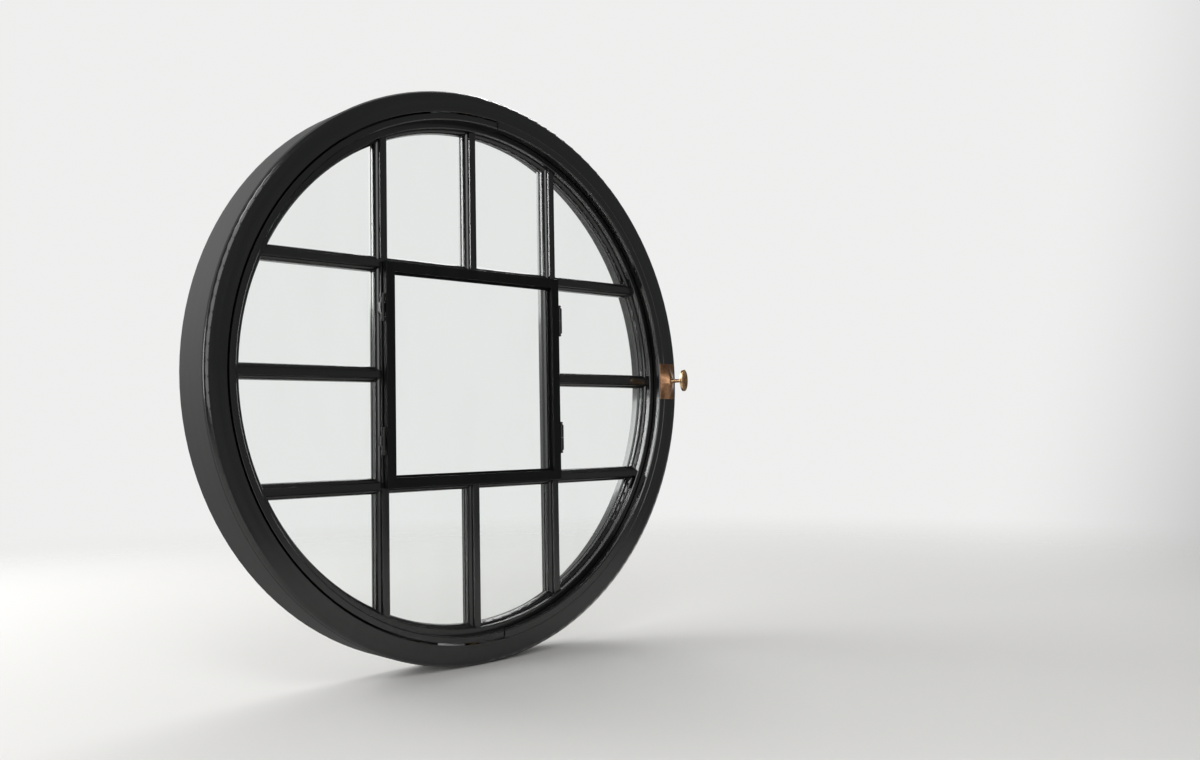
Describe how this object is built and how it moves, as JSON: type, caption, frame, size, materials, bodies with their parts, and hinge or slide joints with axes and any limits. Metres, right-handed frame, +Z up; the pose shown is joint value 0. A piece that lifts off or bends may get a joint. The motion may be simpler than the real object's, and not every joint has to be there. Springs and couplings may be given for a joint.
{
  "type": "round window",
  "caption": "Round pivot window with a black timber frame, glazing bars, a square opening vent leaf in the middle and a brass thumb latch.",
  "frame": {"origin": "middle of the round window, in the plane of the noses of the glazing bars", "axes": "+Y outdoors along the axis of the round frame, +Z up along the pivot axis, +X to the latch side, right as seen from the room"},
  "size_m": [0.916, 0.1268, 0.916],
  "materials": {
    "frame_paint": "near black satin paint on timber",
    "sash_paint": "near black satin paint on timber",
    "leaf_paint": "near black satin paint on steel",
    "hinge_steel": "black steel, worn at the edges",
    "putty": "painted linseed putty",
    "seal": "matt black rubber",
    "clear_glass": "clear float glass",
    "latch_brass": "aged brass, bright at the edges",
    "bush_brass": "turned brass",
    "pin_steel": "turned steel"
  },
  "bodies": {
    "frame": {"frame_ring": "frame_paint", "room_bead_fixed": "frame_paint", "outer_bead_fixed": "frame_paint", "room_seal": "seal", "outer_seal": "seal", "pivot_pin_top": "pin_steel", "pivot_pin_bottom": "pin_steel", "latch_plate": "latch_brass"},
    "sash": {"bar_left_upright": "sash_paint", "bar_lower_rail_centre": "sash_paint", "bar_lower_rail_left": "sash_paint", "bar_lower_rail_right": "sash_paint", "bar_middle_rail_left": "sash_paint", "bar_middle_rail_right": "sash_paint", "bar_middle_upright_bottom": "sash_paint", "bar_middle_upright_top": "sash_paint", "bar_right_upright": "sash_paint", "bar_upper_rail_centre": "sash_paint", "bar_upper_rail_left": "sash_paint", "bar_upper_rail_right": "sash_paint", "catch_clip_lower": "hinge_steel", "catch_clip_upper": "hinge_steel", "hinge_base_lower": "hinge_steel", "hinge_base_upper": "hinge_steel", "hinge_pins": "pin_steel", "keep_screws": "latch_brass", "latch_keep": "latch_brass", "outer_bead_moving": "sash_paint", "pane_bottom_far_left": "clear_glass", "pane_bottom_far_right": "clear_glass", "pane_bottom_left": "clear_glass", "pane_bottom_right": "clear_glass", "pane_lower_far_left": "clear_glass", "pane_lower_far_right": "clear_glass", "pane_top_far_left": "clear_glass", "pane_top_far_right": "clear_glass", "pane_top_left": "clear_glass", "pane_top_right": "clear_glass", "pane_upper_far_left": "clear_glass", "pane_upper_far_right": "clear_glass", "pivot_bush_bottom": "bush_brass", "pivot_bush_top": "bush_brass", "putty_bottom": "putty", "putty_lower": "putty", "putty_top": "putty", "putty_upper": "putty", "room_bead_moving": "sash_paint", "sash_rim": "sash_paint"},
    "vent": {"vent_frame": "leaf_paint", "vent_pane": "clear_glass", "vent_putty": "putty", "hinge_knuckle_upper": "hinge_steel", "hinge_knuckle_lower": "hinge_steel", "catch_stud_upper": "hinge_steel", "catch_stud_lower": "hinge_steel"},
    "latch": {"thumb_turn": "latch_brass", "latch_spindle": "pin_steel", "latch_cam": "pin_steel", "cam_screw": "pin_steel"}
  },
  "joints": [
    {"name": "sash_pivot", "type": "hinge", "parent": "frame", "child": "sash", "pos_m": [0, 0.018, 0], "axis": [0, 0, 1], "range_deg": [0, 80]},
    {"name": "vent_swing", "type": "hinge", "parent": "sash", "child": "vent", "pos_m": [0.1769, -0.007, 0], "axis": [0, 0, 1], "range_deg": [0, 110]},
    {"name": "latch_turn", "type": "hinge", "parent": "frame", "child": "latch", "pos_m": [0.4305, 0, 0], "axis": [0, -1, 0], "range_deg": [0, 90]}
  ]
}
